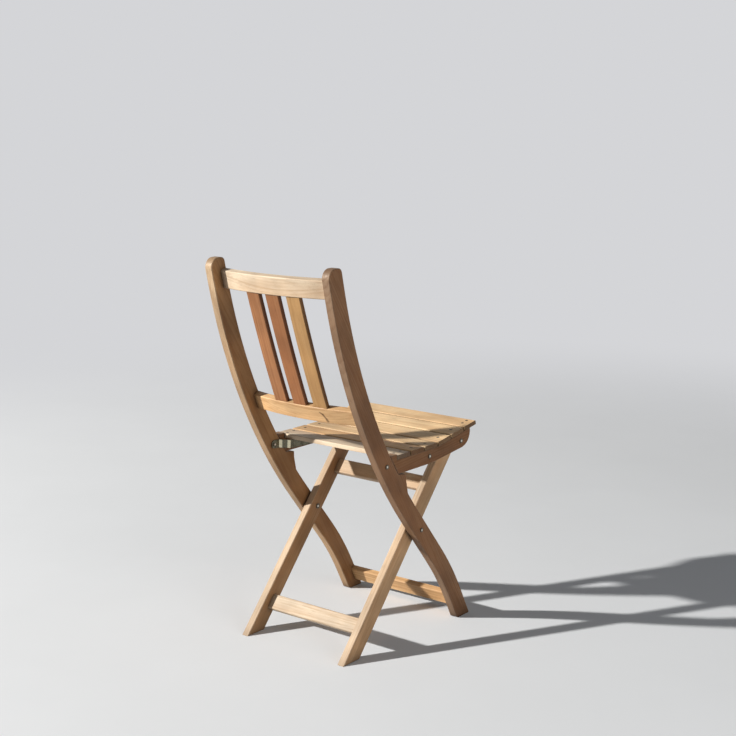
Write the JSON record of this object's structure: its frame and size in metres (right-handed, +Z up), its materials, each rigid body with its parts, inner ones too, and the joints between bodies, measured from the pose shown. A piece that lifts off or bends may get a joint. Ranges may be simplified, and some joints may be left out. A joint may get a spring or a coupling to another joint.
{
  "type": "folding garden chair",
  "caption": "Slatted wooden folding garden chair with curved uprights, crossed legs and steel link straps that let the seat swing up flat against the back.",
  "frame": {"origin": "floor level, at the middle of the chair's box", "axes": "+Z up, -Y to the front of the seat, +X to the sitter's left"},
  "size_m": [0.357, 0.5355, 0.88],
  "materials": {
    "upright_wood": "oiled",
    "leg_wood": "oiled",
    "crest_wood": "oiled",
    "back_rail_wood": "oiled",
    "back_slat_tan": "oiled",
    "back_slat_red": "oiled",
    "back_slat_gold": "oiled",
    "stretcher_wood": "oiled",
    "seat_rail_wood": "oiled",
    "seat_slat_wood": "oiled",
    "strap_steel": "zinc plated",
    "bolt_steel": "zinc plated"
  },
  "bodies": {
    "back_frame": {"left_upright": "upright_wood", "right_upright": "upright_wood", "crest_rail": "crest_wood", "lower_back_rail": "back_rail_wood", "back_slat_left": "back_slat_tan", "back_slat_centre": "back_slat_red", "back_slat_right": "back_slat_gold", "front_stretcher": "stretcher_wood", "cross_pivot_bolts": "bolt_steel", "cross_pivot_washers": "bolt_steel", "cross_pivot_nuts": "bolt_steel", "strap_upright_bolts": "bolt_steel"},
    "leg_frame": {"left_leg": "leg_wood", "right_leg": "leg_wood", "upper_leg_stretcher": "stretcher_wood", "rear_stretcher": "crest_wood", "leg_pivot_pins": "bolt_steel", "leg_pivot_washers": "bolt_steel"},
    "link_straps": {"left_link_strap": "strap_steel", "right_link_strap": "strap_steel"},
    "seat": {"left_seat_rail": "seat_rail_wood", "right_seat_rail": "seat_rail_wood", "seat_slat_1": "seat_slat_wood", "seat_slat_2": "seat_slat_wood", "seat_slat_3": "seat_slat_wood", "seat_slat_4": "seat_slat_wood", "seat_slat_5": "seat_slat_wood", "seat_slat_6": "seat_slat_wood", "strap_seat_bolts": "bolt_steel", "seat_pivot_bolts": "bolt_steel"}
  },
  "joints": [
    {"name": "cross_pivot", "type": "hinge", "parent": "back_frame", "child": "leg_frame", "pos_m": [0, -0.05286, 0.25495], "axis": [-1, 0, 0], "range_deg": [0, 65]},
    {"name": "strap_pivot", "type": "hinge", "parent": "back_frame", "child": "link_straps", "pos_m": [0, 0.07602, 0.42928], "axis": [-1, 0, 0], "range_deg": [0, 97.99]},
    {"name": "seat_pivot", "type": "hinge", "parent": "link_straps", "child": "seat", "pos_m": [0, -0.08165, 0.422], "axis": [1, 0, 0], "range_deg": [0, 171.96]}
  ],
  "couplings": [
    {"joint": "strap_pivot", "follows": "cross_pivot", "ratio": 1.5075},
    {"joint": "seat_pivot", "follows": "cross_pivot", "ratio": 2.6456}
  ]
}
